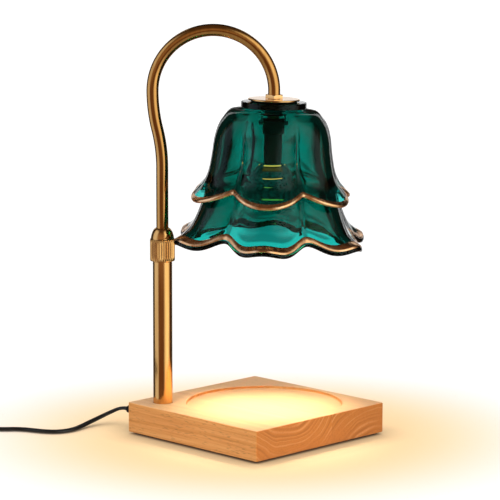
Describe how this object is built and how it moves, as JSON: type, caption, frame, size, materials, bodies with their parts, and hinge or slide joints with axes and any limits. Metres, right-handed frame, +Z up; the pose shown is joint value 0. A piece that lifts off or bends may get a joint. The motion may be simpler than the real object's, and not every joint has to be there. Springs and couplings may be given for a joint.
{
  "type": "candle warmer lamp",
  "caption": "Gooseneck lamp on a square wooden base whose two-tier petal glass shade hangs over a shallow tray, to melt a candle from above.",
  "frame": {"origin": "underside of the pad, below the middle of the square base", "axes": "+Z up; +X along the arm, from the stem towards the shade; the base stands corner-on, with its corners on X and Y"},
  "size_m": [0.4922, 0.2122, 0.3402],
  "materials": {
    "beech": "clear satin lacquer",
    "pad_rubber": "matt",
    "brass_finish": "aged, glossy",
    "steel": "plain",
    "nylon": "moulded",
    "teal_glass": "clear teal, gilded rims",
    "clear_glass": "clear",
    "reflector": "dichroic mirror",
    "ceramic": "unglazed",
    "cord_black": "smooth sheath",
    "black_plastic": "fine texture",
    "board": "lacquered",
    "contact_brass": "bright"
  },
  "bodies": {
    "base": {"base_block": "beech", "base_pad": "pad_rubber", "foot_flange": "steel", "foot_screw_1": "steel", "foot_screw_2": "steel", "foot_screw_3": "steel", "stem_tube": "brass_finish", "cord_boot": "pad_rubber", "base_lead": "cord_black", "slack_lead": "cord_black", "clamp_body": "brass_finish", "cord_lead": "cord_black", "dimmer_lower_shell": "black_plastic", "dimmer_upper_shell": "black_plastic", "dimmer_screw_1": "steel", "dimmer_screw_2": "steel", "dimmer_board": "board", "dimmer_pot": "black_plastic", "dimmer_sleeve_in": "pad_rubber", "dimmer_sleeve_out": "pad_rubber", "cord_coil": "cord_black", "plug_body": "black_plastic", "plug_blade_1": "contact_brass", "plug_blade_2": "contact_brass"},
    "neck_guide": {"neck_guide_bush": "nylon"},
    "neck": {"neck_tube": "brass_finish", "neck_lead": "cord_black", "neck_stop_ring": "steel", "canopy_gasket": "pad_rubber", "canopy_disc": "brass_finish", "canopy_nut": "brass_finish", "shade_gasket": "pad_rubber", "shade_washer": "steel", "shade_nut": "steel", "holder_bracket": "steel", "lamp_holder": "ceramic", "holder_screw_1": "steel", "holder_screw_2": "steel", "bulb_base": "ceramic", "bulb_pin_1": "steel", "bulb_pin_2": "steel", "bulb_reflector": "reflector", "bulb_lens": "clear_glass", "bulb_capsule": "clear_glass", "glass_shade": "teal_glass"},
    "clamp_collet": {"collet": "nylon"},
    "clamp_nut": {"clamp_nut": "brass_finish"},
    "dimmer_wheel": {"dimmer_wheel": "black_plastic"}
  },
  "joints": [
    {"name": "neck_height", "type": "slide", "parent": "base", "child": "neck_guide", "axis": [0, 0, 1], "range_m": [-0.04, 0.04], "deforming": ["slack_lead"]},
    {"name": "neck_swing", "type": "hinge", "parent": "neck_guide", "child": "neck", "pos_m": [-0.077, 0, 0.08], "axis": [0, 0, 1], "range_deg": [-90, 90]},
    {"name": "collet_lift", "type": "slide", "parent": "base", "child": "clamp_collet", "axis": [0, 0, 1], "range_m": [0, 0.001]},
    {"name": "clamp_nut_turn", "type": "hinge", "parent": "clamp_collet", "child": "clamp_nut", "pos_m": [-0.077, 0, 0.155], "axis": [0, 0, 1], "range_deg": [0, 360]},
    {"name": "dimmer_wheel_turn", "type": "hinge", "parent": "base", "child": "dimmer_wheel", "pos_m": [-0.308, 0.088, 0.0108], "axis": [0, 1, 0], "range_deg": [0, 270]}
  ],
  "couplings": [
    {"joint": "clamp_nut_turn", "follows": "collet_lift", "rad_per_m": 6283.2}
  ]
}
